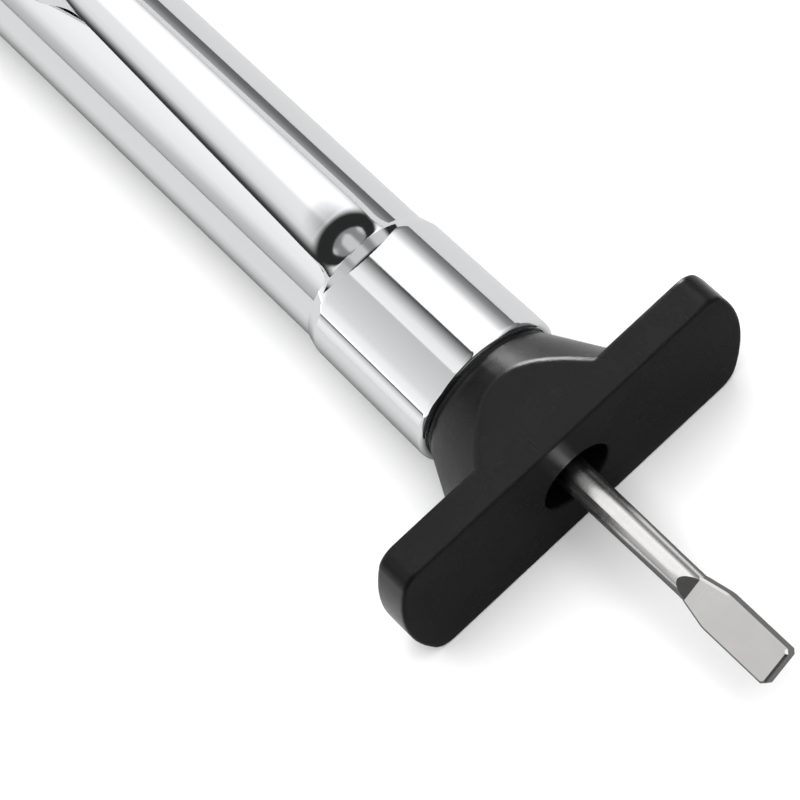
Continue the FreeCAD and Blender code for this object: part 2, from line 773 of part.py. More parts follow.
def make_pocket_clip():
    """Collar and lofted tongue as one stamping, bored to clear the barrel."""
    collar = make_collar()
    tongue = doc.addObject("Part::Feature", "clip_tongue")
    tongue.Shape = Part.makeLoft(tongue_sections(), True, True)
    joined = doc.addObject("Part::Fuse", "clip_blank")
    joined.Base = collar
    joined.Tool = tongue
    core = doc.addObject("Part::Cylinder", "clip_core")
    core.setExpression("Radius", f"{BARREL_RADIUS} + size.press_clearance")
    core.setExpression("Height", "size.tongue_length * 2")
    core.Placement = Placement(Vector(0, 0, 0), Rotation(Vector(0, 1, 0), -90))
    core.setExpression("Placement.Base.x", BARREL_FRONT)
    clip = doc.addObject("Part::Cut", "pocket_clip")
    clip.Base = joined
    clip.Tool = core
    doc.recompute()
    return clip


pieces = [
    make_barrel(),
    make_end_cap(),
    make_foot(),
    make_guide_bush(),
    make_pocket_clip(),
    make_probe(),
    make_carrier(),
    make_cross_pin("probe_pin", f"{CARRIER_FRONT} - size.probe_pin_setback",
                   "size.probe_pin_diameter"),
    make_cross_pin("bar_pin", f"{CARRIER_REAR} + size.bar_pin_setback", "size.bar_pin_diameter"),
    make_friction_ring(),
    make_indicator_bar(),
    make_bar_button(),
]
doc.recompute()

for item in doc.Objects:
    if "Invalid" in item.State or "Error" in item.State:
        raise RuntimeError(f"{item.Label} did not build: {item.State}")
for piece in pieces:
    shape = piece.Shape
    if shape.isNull() or not shape.isValid() or len(shape.Solids) != 1:
        raise RuntimeError(f"{piece.Label} is not one valid solid")

os.makedirs("parts", exist_ok=True)
for piece in pieces:
    piece.Shape.exportStep(f"parts/{piece.Label}.step")
    box = piece.Shape.BoundBox
    print(f"{piece.Label:14s} {piece.Shape.Volume:9.2f} mm3  "
          f"x {box.XMin:8.2f} {box.XMax:8.2f}  y {box.YMin:7.2f} {box.YMax:7.2f}  "
          f"z {box.ZMin:7.2f} {box.ZMax:7.2f}")
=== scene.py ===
"""Looks of a pen type tread depth gauge, built as an add-on on the gauge's own frame.

Lengths in the settings are in metres. X is the gauge's axis and points out of the measuring face,
Y runs along the foot, and Z is up on the side of the pocket clip.
"""

import math

import bpy
from mathutils import Matrix, Vector


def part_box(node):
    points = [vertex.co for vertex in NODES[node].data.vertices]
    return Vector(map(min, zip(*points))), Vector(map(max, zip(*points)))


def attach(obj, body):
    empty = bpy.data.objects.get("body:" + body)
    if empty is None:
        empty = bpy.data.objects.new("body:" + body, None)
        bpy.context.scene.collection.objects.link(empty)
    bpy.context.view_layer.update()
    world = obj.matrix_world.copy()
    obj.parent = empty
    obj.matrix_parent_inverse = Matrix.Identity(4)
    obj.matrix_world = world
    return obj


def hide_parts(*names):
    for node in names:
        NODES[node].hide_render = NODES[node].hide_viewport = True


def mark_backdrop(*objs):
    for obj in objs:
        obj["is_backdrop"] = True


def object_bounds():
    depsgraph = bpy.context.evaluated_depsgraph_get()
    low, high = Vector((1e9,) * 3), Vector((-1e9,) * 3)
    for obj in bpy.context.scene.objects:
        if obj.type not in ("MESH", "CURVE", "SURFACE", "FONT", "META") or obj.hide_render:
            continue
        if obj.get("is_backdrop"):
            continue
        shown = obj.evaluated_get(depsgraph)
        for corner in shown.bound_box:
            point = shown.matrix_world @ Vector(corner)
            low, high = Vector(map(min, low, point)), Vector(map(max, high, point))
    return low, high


bl_info = {
    "name": "Tread depth gauge",
    "version": (1, 0, 0),
    "blender": (4, 5, 0),
    "location": "3D View > Sidebar > Gauge",
    "description": "Builds the visible pieces, finishes and studio of a tread depth gauge",
    "category": "Add Mesh",
}

MM = 0.001
SMOOTH_ANGLE = math.radians(32)
WHITE = (1.0, 1.0, 1.0, 1.0)
CHROME = (0.80, 0.81, 0.82)
DARK = (0.02, 0.02, 0.02, 1.0)
SENSOR_WIDTH = 36.0
READINGS_PER_NUMBER = 5

# Bearings about the gauge's axis, in degrees from upright
BEARING_LIMIT = 115
HORIZON = 90
CARD_END = 87.3
CARD_SEAM = -91.3
UNDER_CARD_END = -112

# Numbers of sections along the tongue, and the last one's place round the tip in degrees
ROOT_STEPS = 9
FLARE_STEPS = 18
NECK_STEPS = 8
BACK_STEPS = 24
WING_STEPS = 40
TIP_STEPS = 14
TIP_TURN = 70

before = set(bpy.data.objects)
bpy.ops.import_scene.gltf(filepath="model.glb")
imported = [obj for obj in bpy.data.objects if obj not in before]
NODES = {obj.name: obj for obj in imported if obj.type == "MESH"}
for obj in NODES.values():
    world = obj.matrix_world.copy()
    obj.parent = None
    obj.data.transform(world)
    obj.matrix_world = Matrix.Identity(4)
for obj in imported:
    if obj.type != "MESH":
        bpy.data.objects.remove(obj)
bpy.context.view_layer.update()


def length(name, description, millimetres):
    """Length setting with its default in millimetres."""
    return bpy.props.FloatProperty(
        name=name, description=description, default=millimetres * MM, unit="LENGTH", precision=5)


def number(name, description, default):
    """Plain number setting."""
    return bpy.props.FloatProperty(name=name, description=description, default=default)


def angle(name, description, degrees):
    """Angle setting with its default in degrees."""
    return bpy.props.FloatProperty(
        name=name, description=description, default=math.radians(degrees), unit="ROTATION")


class GaugeBarrelSettings(bpy.types.PropertyGroup):
    """Chromed tube."""

    wall: length("Wall", "Thickness of the tube's wall", 0.5)
    edge: length("Edge", "Rounding of the tube's ends", 0.12)
    segments: bpy.props.IntProperty(
        name="Segments", description="Faces around each turned piece", default=192)


class GaugeClipSettings(bpy.types.PropertyGroup):
    """Pocket clip: a collar round the barrel and a sprung tongue."""

    sheet: length("Sheet", "Thickness of the stamped sheet", 0.3)
    clearance: length("Clearance", "Gap between collar and barrel", 0.01)
    collar_length: length("Collar length", "Length of the collar along the barrel", 10.4)
    overhang: length("Overhang", "Reach of the collar past the barrel's end", 1.65)
    flare: length("Flare", "Growth of the collar's radius towards its lip", 0.1)
    lip_radius: length("Lip radius", "Rounding of the turned-in lip", 0.42)
    lip_gap: length("Lip gap", "Gap between the lip and the foot's neck", 0.02)
    neck_diameter: length("Neck diameter", "Diameter of the foot's neck in the lip", 9.4)
    rear_taper: length("Rear taper", "Length over which the collar's rear is drawn in", 0.75)
    rear_rounding: length("Rear rounding", "Rounding where the rear is drawn in", 1.2)
    rear_edge: length("Rear edge", "Sheet left at the drawn-in rear edge", 0.1)
    root_inset: length("Root inset", "Length of the tongue's root on the collar", 1.4)
    root_bow: angle("Root bow", "Half the angle of the tongue's section at its root", 65)
    flare_radius: length("Flare radius", "Radius where the root narrows to the neck", 1.25)
    flare_setback: length("Flare setback", "Place behind the collar where the neck starts", 0.83)
    neck_setback: length("Neck setback", "Place behind the collar where the rise ends", 1.85)
    crest_length: length("Crest length", "Further length over which the rise rounds off", 1.7)
    neck_half_width: length("Neck half width", "Half the width of the tongue's neck", 2.15)
    neck_rise: length("Neck rise", "Step up from the collar to the tongue", 1.17)
    tongue_length: length("Tongue length", "Length of the tongue behind the collar", 31.5)
    tip_half_width: length("Tip half width", "Half the width at the tip", 1.45)
    climb: number("Climb", "Slope of the tongue away from the barrel", 0.084)
    bow: angle("Bow", "Half the angle of the tongue's arched section", 51)
    root_sunk: length("Root sunk", "Depth of the root's outer face in the collar", 0.075)
    edge_round: length("Edge round", "Rounding of the sheet's cut edges", 0.07)
    edge_stub: length("Edge stub", "Straight strip along the tongue's edges", 0.075)
    wing_length: length("Wing length", "Length of the turned-down end", 8.9)
    wing_turn: length("Wing turn", "Length over which the edges turn down", 6.9)
    wing_depth: length("Wing depth", "Depth of the turned-down edges", 3.3)
    wing_bow: angle("Wing bow", "Angle of the turned-down edges", 76)
    tip_round: length("Tip round", "Length of the rounded end", 1.34)


class GaugeScaleSettings(bpy.types.PropertyGroup):
    """Printed scale on the indicator bar."""

    reach: length("Reach", "Reading at rest", 16.1)
    full_reach: length("Full reach", "Greatest reading", 25.4)
    tick_width: length("Tick width", "Width of a mark", 0.16)
    tick_length: length("Tick length", "Length of a one millimetre mark", 2.6)
    long_tick_length: length("Long tick length", "Length of a five millimetre mark", 4.2)
    ink_depth: length("Ink depth", "Depth of the ink below the bar's face", 0.03)
    number_height: length("Number height", "Height of the printed numbers", 1.5)
    number_offset: length("Number offset", "Distance of a number from its mark", 1.125)
    number_inset: length("Number inset", "Distance of a number from the bar's edge", 1.2)
    number_lift: length("Number lift", "Height of the numbers over the bar's face", 0.004)


class GaugeStageSettings(bpy.types.PropertyGroup):
    """Floor, tents, cards, lamps and camera."""

    floor_size: length("Floor size", "Side of the floor", 5900)
    tent_radius: length("Tent radius", "Radius of the light tent round the gauge", 3000)
    tent_front: length("Tent front", "Front end of the tent along the gauge", 6000)
    tent_rear: length("Tent rear", "Rear end of the tent along the gauge", -9000)
    dark_start: length("Dark start", "Where the mirrored floor starts to darken", -3)
    dark_end: length("Dark end", "Where the mirrored floor is dark", 1)
    dark_grey: number("Dark grey", "Grey of the mirrored floor where it is dark", 0.13)
    shade_reach: length("Shade reach", "Reach of the mirrored floor's shade beside the gauge", 16)
    floor_glow: number("Floor glow", "Brightness of the mirrored floor far away", 1.4)
    glow_start: length("Glow start", "Distance at which the mirrored floor starts to glow", 120)
    glow_end: length("Glow end", "Distance at which the mirrored floor only glows", 500)
    card_radius: length("Card radius", "Radius of the card round the collar", 22)
    card_level: length("Card level", "Height of the card's own axis", 3)
    card_front: length("Card front", "Front end of the collar's card", 20)
    card_rear: length("Card rear", "Rear end of the collar's card", -60)
    under_card_front: length("Under card front", "Front end of the card under it", -14.6)
    under_card_rear: length("Under card rear", "Rear end of the card under it", -26.3)
    glow: number("Glow", "Brightness of the tents and cards", 1.35)
    lamp_power: number("Lamp power", "Power of the lamp over the floor, in watts", 14.0)
    lamp_size: length("Lamp size", "Side of the lamp over the floor", 1200)
    lamp_place: bpy.props.FloatVectorProperty(
        name="Lamp place", description="Place of the lamp over the floor", unit="LENGTH",
        default=(-0.05, 0.0, 1.2))
    edge_lamp_power: number("Edge lamp power", "Power of the foot's edge lamp, in watts", 3.6)
    edge_lamp_size: length("Edge lamp size", "Side of the lamp for the foot's edges", 160)
    edge_lamp_place: bpy.props.FloatVectorProperty(
        name="Edge lamp place", description="Place of the lamp for the foot's edges",
        unit="LENGTH", default=(-0.39, 0.25, 0.17))
    lens: number("Lens", "Focal length of the camera, in millimetres", 128.65)
    clip_start: length("Clip start", "Nearest distance that the camera sees", 10)
    camera_place: bpy.props.FloatVectorProperty(
        name="Camera place", description="Place of the camera", unit="LENGTH",
        default=(0.056987, -0.026272, 0.148551), precision=6)
    camera_right: bpy.props.FloatVectorProperty(
        name="Camera right", description="Direction to the right of the picture",
        default=(0.656226, 0.730373, -0.189532), precision=6)
    camera_down: bpy.props.FloatVectorProperty(
        name="Camera down", description="Direction down the picture",
        default=(0.632353, -0.669359, -0.389985), precision=6)


# Meshes


def new_object(name, verts, faces):
    """Smooth shaded mesh object that keeps its sharp edges."""
    mesh = bpy.data.meshes.new(name)
    mesh.from_pydata(verts, [], faces)
    mesh.validate()
    mesh.shade_smooth()
    mesh.set_sharp_from_angle(angle=SMOOTH_ANGLE)
    obj = bpy.data.objects.new(name, mesh)
    bpy.context.scene.collection.objects.link(obj)
    return obj


def rounded(corners, steps=8):
    """Closed outline whose corners, given as (x, radius, rounding), are rounded by arcs."""
    count = len(corners)
    points = []
    for i, (x, y, size) in enumerate(corners):
        here = Vector((x, y))
        if size <= 0:
            points.append(here)
            continue
        back = (Vector(corners[i - 1][:2]) - here).normalized()
        on = (Vector(corners[(i + 1) % count][:2]) - here).normalized()
        half = back.angle(on) / 2
        reach = size / math.tan(half)
        centre = here + (back + on).normalized() * size / math.sin(half)
        start = here + back * reach - centre
        end = here + on * reach - centre
        first = math.atan2(start.y, start.x)
        swing = math.remainder(math.atan2(end.y, end.x) - first, 2 * math.pi)
        for step in range(steps + 1):
            turn = first + swing * step / steps
            points.append(centre + size * Vector((math.cos(turn), math.sin(turn))))
    return points


def lathe(name, corners, segments):
    """Piece turned about the gauge's axis from a closed outline."""
    outline = rounded(corners)
    count = len(outline)
    verts = []
    for i in range(segments):
        turn = 2 * math.pi * i / segments
        verts += [(p.x, p.y * math.sin(turn), p.y * math.cos(turn)) for p in outline]
    faces = []
    for i in range(segments):
        here, on = i * count, (i + 1) % segments * count
        for j in range(count):
            k = (j + 1) % count
            faces.append((here + j, here + k, on + k, on + j))
    obj = new_object(name, verts, faces)
    even = obj.modifiers.new("even normals", "WEIGHTED_NORMAL")
    even.keep_sharp = True
    return obj


def tube_of(name, sections):
    """Closed skin through sections that all have the same number of points."""
    count = len(sections[0])
    verts = [tuple(p) for section in sections for p in section]
    faces = [tuple(range(count)), tuple(reversed(range(len(verts) - count, len(verts))))]
    for i in range(len(sections) - 1):
        here, on = i * count, (i + 1) * count
        for j in range(count):
            k = (j + 1) % count
            faces.append((here + k, here + j, on + j, on + k))
    return new_object(name, verts, faces)


def box_mesh(lo, hi):
    """Corners and faces of a box."""
    verts = [(x, y, z) for x in (lo[0], hi[0]) for y in (lo[1], hi[1]) for z in (lo[2], hi[2])]
    faces = [(0, 1, 3, 2), (4, 6, 7, 5), (0, 4, 5, 1), (2, 3, 7, 6), (0, 2, 6, 4), (1, 5, 7, 3)]
    return verts, faces


def smooth(share):
    """Share from 0 to 1 with a level start and end."""
    share = min(max(share, 0.0), 1.0)
    return share * share * (3 - 2 * share)


def ramp_up(share, straight=0.335):
    """Share from 0 to 1 that climbs straight at first and then rounds off to a level end."""
    share = min(max(share, 0.0), 1.0)
    slope = 3 / (1 + 2 * straight)
    if share < straight:
        return slope * share
    return 1 - slope * (1 - share) ** 3 / (3 * (1 - straight) ** 2)


def soften_edges(obj, width):
    """Round the piece's sharp edges a little, so that they catch the light."""
    bevel = obj.modifiers.new("edges", "BEVEL")
    bevel.width = width
    bevel.segments = 3
    bevel.limit_method = "ANGLE"
    bevel.angle_limit = SMOOTH_ANGLE
    bevel.harden_normals = True


def finish_piece(obj, material, body, nodes=()):
    """Give a piece its finish, the body it rides on and what it replaces."""
    obj.data.materials.clear()
    obj.data.materials.append(material)
    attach(obj, body)
    if nodes:
        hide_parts(*nodes)


def paint_node(name, material):
    """Give a CAD node its finish."""
    node = NODES[name]
    node.data.materials.clear()
    node.data.materials.append(material)


# Shader groups


def shader_group(name, inputs, outputs):
    """Empty node group with sockets given as (name, kind, default)."""
    tree = bpy.data.node_groups.new(name, "ShaderNodeTree")
    for label, kind, default in inputs:
        socket = tree.interface.new_socket(label, in_out="INPUT", socket_type=kind)
        socket.default_value = default
    for label, kind in outputs:
        tree.interface.new_socket(label, in_out="OUTPUT", socket_type=kind)
    entry = tree.nodes.new("NodeGroupInput")
    leave = tree.nodes.new("NodeGroupOutput")
    return tree, entry, leave


def add_node(tree, kind, settings=None, **links):
    """Node with its settings and with inputs linked from sockets or set to values."""
    node = tree.nodes.new(kind)
    for key, setting in (settings or {}).items():
        setattr(node, key, setting)
    for key, source in links.items():
        socket = node.inputs[int(key[1:])] if key[1:].isdigit() else node.inputs[key]
        if isinstance(source, bpy.types.NodeSocket):
            tree.links.new(source, socket)
        else:
            socket.default_value = source
    return node


def grey(level):
    """Opaque grey."""
    return (level, level, level, 1.0)


def share_of(tree, source, start, end, shape="LINEAR"):
    """Share from 0 to 1 of the way that a value has gone from start to end."""
    return add_node(tree, "ShaderNodeMapRange", {"interpolation_type": shape},
                    Value=source, _1=start, _2=end).outputs[0]


def blend(tree, share, first, second):
    """Mix of two colours."""
    return add_node(tree, "ShaderNodeMix", {"data_type": "RGBA"},
                    Factor=share, _6=first, _7=second).outputs[2]


def object_place(tree, stretch=(1.0, 1.0, 1.0)):
    """Object coordinates in millimetres, stretched along each axis."""
    coordinates = add_node(tree, "ShaderNodeTexCoord")
    scaled = add_node(tree, "ShaderNodeVectorMath", {"operation": "MULTIPLY"},
                      _0=coordinates.outputs["Object"], _1=tuple(s / MM for s in stretch))
    return scaled.outputs[0]


def grain_group():
    """Fine moulded grain or polish waviness, as a normal."""
    tree, entry, leave = shader_group(
        "Surface grain",
        [("Scale", "NodeSocketFloat", 4.0), ("Strength", "NodeSocketFloat", 0.1),
         ("Depth", "NodeSocketFloat", 0.02)],
        [("Normal", "NodeSocketVector")])
    noise = add_node(tree, "ShaderNodeTexNoise", Vector=object_place(tree),
                     Scale=entry.outputs["Scale"], Detail=4.0, Roughness=0.6)
    depth = add_node(tree, "ShaderNodeMath", {"operation": "MULTIPLY"},
                     _0=entry.outputs["Depth"], _1=MM)
    bump = add_node(tree, "ShaderNodeBump", Strength=entry.outputs["Strength"],
                    Distance=depth.outputs[0], Height=noise.outputs["Fac"])
    tree.links.new(bump.outputs["Normal"], leave.inputs["Normal"])


def wear_group():
    """Hairline scratches and handling marks, as a roughness that varies."""
    tree, entry, leave = shader_group(
        "Handling wear",
        [("Base", "NodeSocketFloat", 0.05), ("Smudge", "NodeSocketFloat", 0.05),
         ("Scratch", "NodeSocketFloat", 0.2), ("Scale", "NodeSocketFloat", 0.5)],
        [("Roughness", "NodeSocketFloat")])
    smudge = add_node(tree, "ShaderNodeTexNoise", Vector=object_place(tree),
                      Scale=entry.outputs["Scale"], Detail=3.0, Roughness=0.55)
    cloudy = share_of(tree, smudge.outputs["Fac"], 0.45, 0.75)
    lines = add_node(tree, "ShaderNodeTexNoise", Vector=object_place(tree, (0.25, 9.0, 9.0)),
                     Scale=1.3, Detail=2.0, Roughness=0.5)
    fine = share_of(tree, lines.outputs["Fac"], 0.70, 0.74)
    from_smudge = add_node(tree, "ShaderNodeMath", {"operation": "MULTIPLY_ADD"},
                           _0=cloudy, _1=entry.outputs["Smudge"], _2=entry.outputs["Base"])
    total = add_node(tree, "ShaderNodeMath", {"operation": "MULTIPLY_ADD", "use_clamp": True},
                     _0=fine, _1=entry.outputs["Scratch"], _2=from_smudge.outputs[0])
    tree.links.new(total.outputs[0], leave.inputs["Roughness"])


def turned_group():
    """Fine turning lines round the axis, as a normal."""
    tree, entry, leave = shader_group(
        "Turned lines",
        [("Pitch", "NodeSocketFloat", 12.0), ("Strength", "NodeSocketFloat", 0.2)],
        [("Normal", "NodeSocketVector")])
    lines = add_node(tree, "ShaderNodeTexNoise", Vector=object_place(tree, (1.0, 0.02, 0.02)),
                     Scale=entry.outputs["Pitch"], Detail=3.0, Roughness=0.7)
    bump = add_node(tree, "ShaderNodeBump", Strength=entry.outputs["Strength"],
                    Distance=0.01 * MM, Height=lines.outputs["Fac"])
    tree.links.new(bump.outputs["Normal"], leave.inputs["Normal"])


def rounding_group():
    """Lean of the normal where an edge is rounded, to add to another normal."""
    tree, entry, leave = shader_group(
        "Rounded edges", [("Radius", "NodeSocketFloat", 0.3 * MM)],
        [("Lean", "NodeSocketVector")])
    rounded_normal = add_node(tree, "ShaderNodeBevel", Radius=entry.outputs["Radius"])
    flat = add_node(tree, "ShaderNodeNewGeometry")
    lean = add_node(tree, "ShaderNodeVectorMath", {"operation": "SUBTRACT"},
                    _0=rounded_normal.outputs["Normal"], _1=flat.outputs["Normal"])
    tree.links.new(lean.outputs[0], leave.inputs["Lean"])


def fold_group():
    """Painted shade line in the crease where the clip's neck leaves the collar, as a mask along the
    gauge.
    """
    tree, entry, leave = shader_group(
        "Painted crease shade",
        [("Clean", "NodeSocketFloat", -16.75), ("Dirty", "NodeSocketFloat", -16.6)],
        [("Mask", "NodeSocketFloat")])
    place = add_node(tree, "ShaderNodeSeparateXYZ", Vector=object_place(tree))
    share = share_of(tree, place.outputs["X"], entry.outputs["Clean"], entry.outputs["Dirty"],
                     "SMOOTHSTEP")
    tree.links.new(share, leave.inputs["Mask"])


def use_group(tree, name, **values):
    """Instance of a shared group with its inputs set."""
    node = tree.nodes.new("ShaderNodeGroup")
    node.node_tree = bpy.data.node_groups[name]
    for key, setting in values.items():
        node.inputs[key].default_value = setting
    return node


def surface(name, colour, **values):
    """Node tree and Principled BSDF of a new material, with the plain inputs set."""
    material = bpy.data.materials.new(name)
    material.use_nodes = True
    tree = material.node_tree
    shader = tree.nodes["Principled BSDF"]
    shader.inputs["Base Color"].default_value = (*colour, 1.0)
    for key, setting in values.items():
        shader.inputs[key.replace("_", " ")].default_value = setting
    return tree, shader


def add_wear(tree, shader, **values):
    """Let handling wear vary a finish's roughness."""
    wear = use_group(tree, "Handling wear", **values)
    tree.links.new(wear.outputs["Roughness"], shader.inputs["Roughness"])


def add_relief(tree, shader, name, **values):
    """Give a finish the fine relief of a shared group."""
    relief = use_group(tree, name, **values)
    tree.links.new(relief.outputs["Normal"], shader.inputs["Normal"])
    return relief


def make_finishes():
    """Make the gauge's finishes."""
    grain_group()
    wear_group()
    turned_group()
    fold_group()
    rounding_group()

    for name in ("Chrome", "Crease shaded chrome"):
        tree, shader = surface(name, CHROME, Metallic=1.0)
        add_wear(tree, shader, Base=0.045, Smudge=0.05, Scratch=0.07, Scale=0.35)
        add_relief(tree, shader, "Surface grain", Scale=0.9, Strength=0.06, Depth=0.02)
    # Painted shade: the tongue's chrome is blended to dark in the crease where its neck leaves the
    # collar.
    crease_shade = use_group(tree, "Painted crease shade")
    crease_shaded = blend(tree, crease_shade.outputs["Mask"], (*CHROME, 1.0), DARK)
    tree.links.new(crease_shaded, shader.inputs["Base Color"])

    tree, shader = surface("Black plastic", (0.003, 0.003, 0.0033), Specular_IOR_Level=0.24)
    add_wear(tree, shader, Base=0.24, Smudge=0.10, Scratch=0.12, Scale=0.3)
    grain = add_relief(tree, shader, "Surface grain", Scale=5.0, Strength=0.35, Depth=0.012)
    rounding = use_group(tree, "Rounded edges", Radius=0.3 * MM)
    sum_of = add_node(tree, "ShaderNodeVectorMath", {"operation": "ADD"},
                      _0=grain.outputs["Normal"], _1=rounding.outputs["Lean"])
    tree.links.new(sum_of.outputs[0], shader.inputs["Normal"])

    tree, shader = surface("Steel", (0.80, 0.79, 0.78), Metallic=1.0)
    add_wear(tree, shader, Base=0.20, Smudge=0.08, Scratch=0.10, Scale=0.8)
    add_relief(tree, shader, "Turned lines", Pitch=9.0, Strength=0.35)

    tree, shader = surface("Brass", (0.78, 0.60, 0.30), Metallic=1.0)
    add_wear(tree, shader, Base=0.24, Smudge=0.08, Scratch=0.08, Scale=0.6)
    add_relief(tree, shader, "Turned lines", Pitch=7.0, Strength=0.4)

    tree, shader = surface("Rubber", (0.018, 0.018, 0.018), Specular_IOR_Level=0.3)
    add_wear(tree, shader, Base=0.62, Smudge=0.15, Scratch=0.0, Scale=0.8)
    add_relief(tree, shader, "Surface grain", Scale=8.0, Strength=0.5, Depth=0.02)

    tree, shader = surface("White nylon", (0.82, 0.81, 0.77), Subsurface_Weight=0.25,
                           Subsurface_Scale=1.2 * MM)
    add_wear(tree, shader, Base=0.38, Smudge=0.12, Scratch=0.08, Scale=0.3)
    add_relief(tree, shader, "Surface grain", Scale=3.0, Strength=0.25, Depth=0.01)

    tree, shader = surface("Ink", (0.015, 0.015, 0.018), Specular_IOR_Level=0.3)
    add_wear(tree, shader, Base=0.5, Smudge=0.15, Scratch=0.1, Scale=1.2)


def finish_named(name):
    """Finish of that name. All of them are made on first use."""
    if name not in bpy.data.materials:
        make_finishes()
    return bpy.data.materials[name]


# Pieces


class GAUGE_OT_barrel(bpy.types.Operator):
    """Adds the chromed tube and paints its end cap"""

    bl_idname = "gauge.add_barrel"
    bl_label = "Barrel"

    def execute(self, context):
        settings = context.scene.gauge_barrel
        lo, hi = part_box("barrel")
        outer = hi.z
        inner = outer - settings.wall
        edge = settings.edge
        tube = lathe("barrel_tube", [
            (lo.x, outer, edge), (hi.x, outer, edge), (hi.x, inner, edge / 2),
            (lo.x, inner, edge / 2),
        ], settings.segments)
        finish_piece(tube, finish_named("Chrome"), "handle", ["barrel"])
        paint_node("end_cap", finish_named("Black plastic"))
        return {"FINISHED"}


def tongue_section(x, top, half_width, bow, wing, sheet, steps=24):
    """Points round one section of the tongue: a bowed strip whose edges run on into wings."""
    radius = half_width / math.sin(bow)
    centre = top - radius
    points = []
    for size, way in ((radius, 1), (radius - sheet, -1)):
        arc = [(size * math.sin(t), centre + size * math.cos(t))
               for t in (bow * (2 * i / steps - 1) for i in range(steps + 1))]
        out = Vector((math.cos(bow), -math.sin(bow))) * wing
        start, end = arc[0], arc[-1]
        side = ([(start[0] - out.x, start[1] + out.y)] + arc + [(end[0] + out.x, end[1] + out.y)])
        points += [(x, y, z) for y, z in side[::way]]
    return points


def tongue_sections(settings, barrel_front, barrel_radius):
    """Sections of the tongue from its root on the collar to its rounded tip."""
    collar_rear = barrel_front + settings.overhang - settings.collar_length
    root = collar_rear + settings.root_inset
    flare_end = collar_rear - settings.flare_setback
    neck = collar_rear - settings.neck_setback
    crest_end = neck - settings.crest_length
    tip = collar_rear - settings.tongue_length
    wing_start = tip + settings.wing_length
    round_start = tip + settings.tip_round
    flare = settings.flare_radius
    root_half = settings.neck_half_width + flare
    sunk = barrel_radius + settings.clearance + settings.sheet - settings.root_sunk

    def raised(x):
        return ramp_up((root - x) / (root - crest_end))

    def top(x):
        return sunk + settings.neck_rise * raised(x) + settings.climb * max(0.0, neck - x)

    def half_width(x):
        share = max(0.0, (flare_end - x) / (flare_end - tip))
        return settings.neck_half_width + (settings.tip_half_width
                                           - settings.neck_half_width) * share

    def turned_down(x):
        return smooth((wing_start - x) / settings.wing_turn)

    def section(x, width, wing_share=1.0):
        bend = (settings.root_bow + (settings.bow - settings.root_bow) * raised(x)
                + (settings.wing_bow - settings.bow) * turned_down(x))
        wing = settings.edge_stub + settings.wing_depth * turned_down(x) * wing_share
        return tongue_section(x, top(x), width, bend, wing, settings.sheet)

    places = [(root + (flare_end + flare - root) * step / ROOT_STEPS, root_half, 1.0)
              for step in range(ROOT_STEPS)]
    for step in range(FLARE_STEPS + 1):
        turn = math.radians(90 - 90 * step / FLARE_STEPS)
        places.append((flare_end + flare * math.sin(turn), root_half - flare * math.cos(turn), 1.0))
    for start, end, count in ((flare_end, neck, NECK_STEPS), (neck, wing_start, BACK_STEPS),
                              (wing_start, round_start, WING_STEPS)):
        for step in range(1, count + 1):
            x = start + (end - start) * step / count
            places.append((x, half_width(x), 1.0))
    for step in range(1, TIP_STEPS + 1):
        turn = math.radians(TIP_TURN * step / TIP_STEPS)
        places.append((round_start + (tip - round_start) * math.sin(turn),
                       half_width(round_start) * math.cos(turn), math.cos(turn)))
    return [section(*place) for place in places]


class GAUGE_OT_clip(bpy.types.Operator):
    """Adds the pocket clip's collar and tongue"""

    bl_idname = "gauge.add_clip"
    bl_label = "Pocket clip"

    def execute(self, context):
        settings = context.scene.gauge_clip
        segments = context.scene.gauge_barrel.segments
        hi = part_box("barrel")[1]
        inner = hi.z + settings.clearance
        outer = inner + settings.sheet
        front = hi.x + settings.overhang
        rear = front - settings.collar_length
        mouth = outer + settings.flare
        lip = settings.neck_diameter / 2 + settings.lip_gap
        sheet = settings.sheet
        collar = lathe("clip_collar", [
            (front, lip, 0), (front, mouth, settings.lip_radius),
            (rear + settings.rear_taper, outer, settings.rear_rounding),
            (rear, inner + settings.rear_edge, settings.rear_edge / 3), (rear, inner, 0),
            (hi.x, inner, 0), (front - sheet, mouth - sheet, 0), (front - sheet, lip, 0),
        ][::-1], segments)
        finish_piece(collar, finish_named("Chrome"), "handle", ["pocket_clip"])
        tongue = tube_of("clip_tongue", tongue_sections(settings, hi.x, hi.z))
        soften_edges(tongue, settings.edge_round)
        # The tongue's chrome carries painted shade in the crease at the collar.
        finish_piece(tongue, finish_named("Crease shaded chrome"), "handle")
        return {"FINISHED"}


class GAUGE_OT_foot(bpy.types.Operator):
    """Paints the moulded foot and its guide bush"""

    bl_idname = "gauge.add_foot"
    bl_label = "Foot"

    def execute(self, context):
        paint_node("foot", finish_named("Black plastic"))
        paint_node("guide_bush", finish_named("Brass"))
        return {"FINISHED"}


class GAUGE_OT_probe(bpy.types.Operator):
    """Paints the probe, the carrier and what holds them together"""

    bl_idname = "gauge.add_probe"
    bl_label = "Probe and carrier"

    def execute(self, context):
        for name, finish in (("probe", "Steel"), ("carrier", "Brass"), ("probe_pin", "Steel"),
                             ("bar_pin", "Steel"), ("friction_ring", "Rubber")):
            paint_node(name, finish_named(finish))
        return {"FINISHED"}


def number_mesh(text, height):
    """Flat mesh of a printed number, centred on its own origin."""
    curve = bpy.data.curves.new("number", "FONT")
    curve.body = text
    curve.size = height
    curve.align_x = "CENTER"
    curve.align_y = "CENTER"
    obj = bpy.data.objects.new("number", curve)
    bpy.context.scene.collection.objects.link(obj)
    mesh = bpy.data.meshes.new_from_object(obj)
    verts = [v.co.copy() for v in mesh.vertices]
    faces = [tuple(p.vertices) for p in mesh.polygons]
    bpy.data.objects.remove(obj)
    bpy.data.curves.remove(curve)
    bpy.data.meshes.remove(mesh)
    return verts, faces


